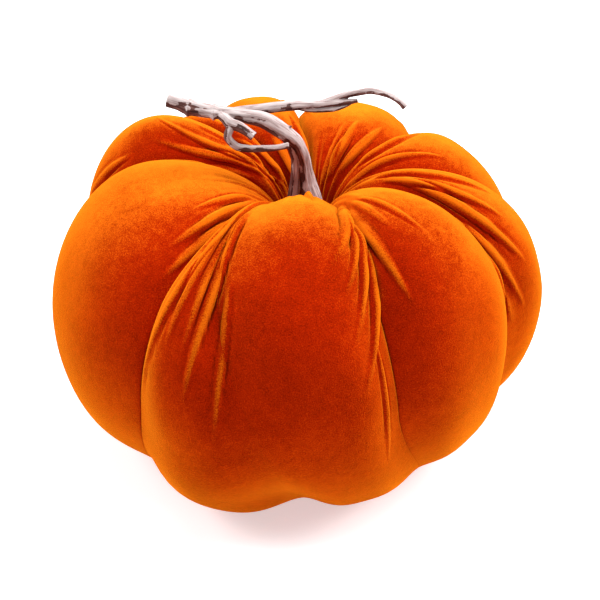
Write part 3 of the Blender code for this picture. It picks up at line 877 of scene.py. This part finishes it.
def painted_sheen_share(shading, tufts, patches):
    """Share of painted golden light: top light along the crowns that face upwards, and sheen where the pile
    is seen from its side.
    """
    upward = shading.add("SeparateXYZ")
    shading.link(shading.add("NewGeometry").outputs["Normal"], upward.inputs[0])
    top_lit_share = shading.ranged(upward.outputs["Z"], *PAINTED_SHEEN_UPWARD)
    top_lit_share = shading.weighed(top_lit_share, 1 - PAINTED_SHEEN_LEAST, PAINTED_SHEEN_LEAST)
    side_on = shading.add("LayerWeight").outputs["Facing"]
    speckled = shading.weighed(tufts, PAINTED_SHEEN_SPECKLE, shading.weighed(patches, PAINTED_SHEEN_PATCHES, side_on))
    start, end = (edge + (PAINTED_SHEEN_SPECKLE + PAINTED_SHEEN_PATCHES) / 2 for edge in PAINTED_SHEEN_SIDE_ON)
    return shading.product(shading.ranged(speckled, start, end), top_lit_share)


def velvet_material():
    """Orange velvet: a deep red-orange ground, painted golden top light and sheen where the pile faces up and
    is seen from its side, painted sheen on folds and painted shade in creases.
    """
    shading = Shading("orange_velvet")
    place = shading.place()
    brushed = shading.noise(place, *BRUSHED_NOISE)
    clumps = shading.noise(place, *CLUMP_NOISE)
    tufts = shading.noise(place, *TUFT_NOISE)
    patches = shading.mixed(brushed, clumps, CLUMPS_IN_PATCH)
    shade = shading.mixed(patches, tufts, TUFTS_IN_SHADE)
    ground = shading.ramp(shade, tuple(zip(GROUND_RANGE, (VELVET_DEEP, VELVET_LIGHT))))
    # painted top light and sheen: golden where the pile faces upwards and is seen from its side
    colour = shading.layered(ground, VELVET_PAINTED_SHEEN, painted_sheen_share(shading, tufts, patches))
    relief = shading.attribute("relief")
    # painted sheen on the folds' rolls, then painted shade in the creases, by the relief
    for other, edges, ragged in ((VELVET_FOLD_SHEEN, FOLD_SHEEN_RELIEF, FOLD_SHEEN_SPECKLE),
                                 (VELVET_CREASE_SHADE, CREASE_SHADE_RELIEF, CREASE_SHADE_SPECKLE)):
        speckled = shading.weighed(tufts, ragged, relief)
        start, end = (edge + ragged / 2 for edge in edges)
        colour = shading.layered(colour, other, shading.ranged(speckled, start, end))
    pile = shading.mixed(clumps, tufts, TUFTS_IN_PILE)
    shading.shade({
        "Base Color": colour,
        "Normal": shading.bump(pile, PILE_STRENGTH, PILE_RELIEF),
        "Roughness": VELVET_ROUGHNESS,
        "Specular IOR Level": 0,
        "Sheen Weight": 1,
        "Sheen Roughness": SHEEN_ROUGHNESS,
        "Sheen Tint": VELVET_SHEEN,
    })
    return shading.made


def bark_material():
    """Pale dried bark with brown wood in patches, and brown in furrows, on the left side and along undersides
    as partly painted shade.
    """
    shading = Shading("dried_bark")
    grain = shading.attribute("grain", "Vector")
    patches = shading.noise(grain, *PATCH_NOISE)
    streaks = shading.noise(grain, *STREAK_NOISE)
    fibres = shading.noise(grain, *FIBRE_NOISE)
    pale_share = shading.weighed(patches, PATCH_WEIGHT, shading.noise(shading.place(), *FLAKE_NOISE))
    # browner on the left side, along undersides and deeper in furrows: partly the wood's own colour, partly
    # painted shade
    pale_share = shading.weighed(shading.attribute("bare_and_shade"), BARE_AND_SHADE_WEIGHT, pale_share)
    pale_share = shading.weighed(shading.attribute("furrow"), FURROW_WEIGHT, pale_share)
    brown, pale = shading.ramp(streaks, BROWN_WOOD_AND_SHADE), shading.ramp(streaks, PALE_BARK)
    relief = shading.weighed(fibres, FIBRE_RELIEF, shading.weighed(streaks, STREAK_RELIEF, pale_share))
    shading.shade({
        "Base Color": shading.layered(brown, pale, shading.ramp(pale_share, BARK_EDGE)),
        "Normal": shading.bump(relief, BARK_STRENGTH, BARK_RELIEF),
        "Roughness": BARK_ROUGHNESS,
        "Specular IOR Level": BARK_SPECULAR,
    })
    return shading.made


def add_camera():
    """The camera at the photograph's viewing angle, its shift only as large as the framing needs."""
    data = bpy.data.cameras.new("camera")
    item = bpy.data.objects.new("camera", data)
    bpy.context.scene.collection.objects.link(item)
    tilt = math.radians(CAMERA_ELEVATION)
    back = Vector((0, -math.cos(tilt), math.sin(tilt)))
    item.location = Vector(LOOK_AT) + back * CAMERA_DISTANCE
    item.rotation_mode = "QUATERNION"
    item.rotation_quaternion = back.to_track_quat("Z", "Y")
    data.sensor_width = SENSOR
    data.lens = FOCAL_PIXELS / PICTURE * SENSOR
    data.shift_x = (PICTURE / 2 - PRINCIPAL_POINT[0]) / PICTURE
    data.shift_y = (PRINCIPAL_POINT[1] - PICTURE / 2) / PICTURE
    data.clip_start = CLIP_START
    bpy.context.scene.camera = item


def add_lights():
    """Plain soft studio lights and white surroundings."""
    for light in LIGHTS:
        data = bpy.data.lights.new(light.name, "AREA")
        data.size = light.size
        data.energy = light.power
        item = bpy.data.objects.new(light.name, data)
        bpy.context.scene.collection.objects.link(item)
        turn, tilt = math.radians(light.azimuth), math.radians(light.elevation)
        back = Vector((math.sin(turn) * math.cos(tilt), -math.cos(turn) * math.cos(tilt), math.sin(tilt)))
        item.location = Vector(LOOK_AT) + back * light.distance
        item.rotation_mode = "QUATERNION"
        item.rotation_quaternion = back.to_track_quat("Z", "Y")
    world = bpy.data.worlds.new("white_surroundings")
    world.use_nodes = True
    background = world.node_tree.nodes["Background"]
    background.inputs["Color"].default_value = (1, 1, 1, 1)
    background.inputs["Strength"].default_value = SURROUNDINGS
    bpy.context.scene.world = world


def add_floor():
    """A plain pale floor that glows a little, so that it looks nearly white."""
    half = FLOOR_SIZE / 2
    corners = [(-half, -half, 0), (half, -half, 0), (half, half, 0), (-half, half, 0)]
    data = bpy.data.meshes.new("floor")
    data.from_pydata(corners, [], [(0, 1, 2, 3)])
    shading = Shading("pale_floor")
    shading.shade({
        "Base Color": FLOOR_COLOUR,
        "Roughness": FLOOR_ROUGHNESS,
        "Emission Color": (1, 1, 1),
        "Emission Strength": FLOOR_GLOW,
    })
    data.materials.append(shading.made)
    item = bpy.data.objects.new("floor", data)
    bpy.context.scene.collection.objects.link(item)


body, offset = build_body()
body.data.materials.append(velvet_material())
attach(body, "root")
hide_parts("velvet_body")
stem = build_stem(offset)
stem.data.materials.append(bark_material())
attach(stem, "root")
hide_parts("stem")
add_camera()
add_lights()
add_floor()
bpy.context.scene.view_settings.view_transform = "Standard"
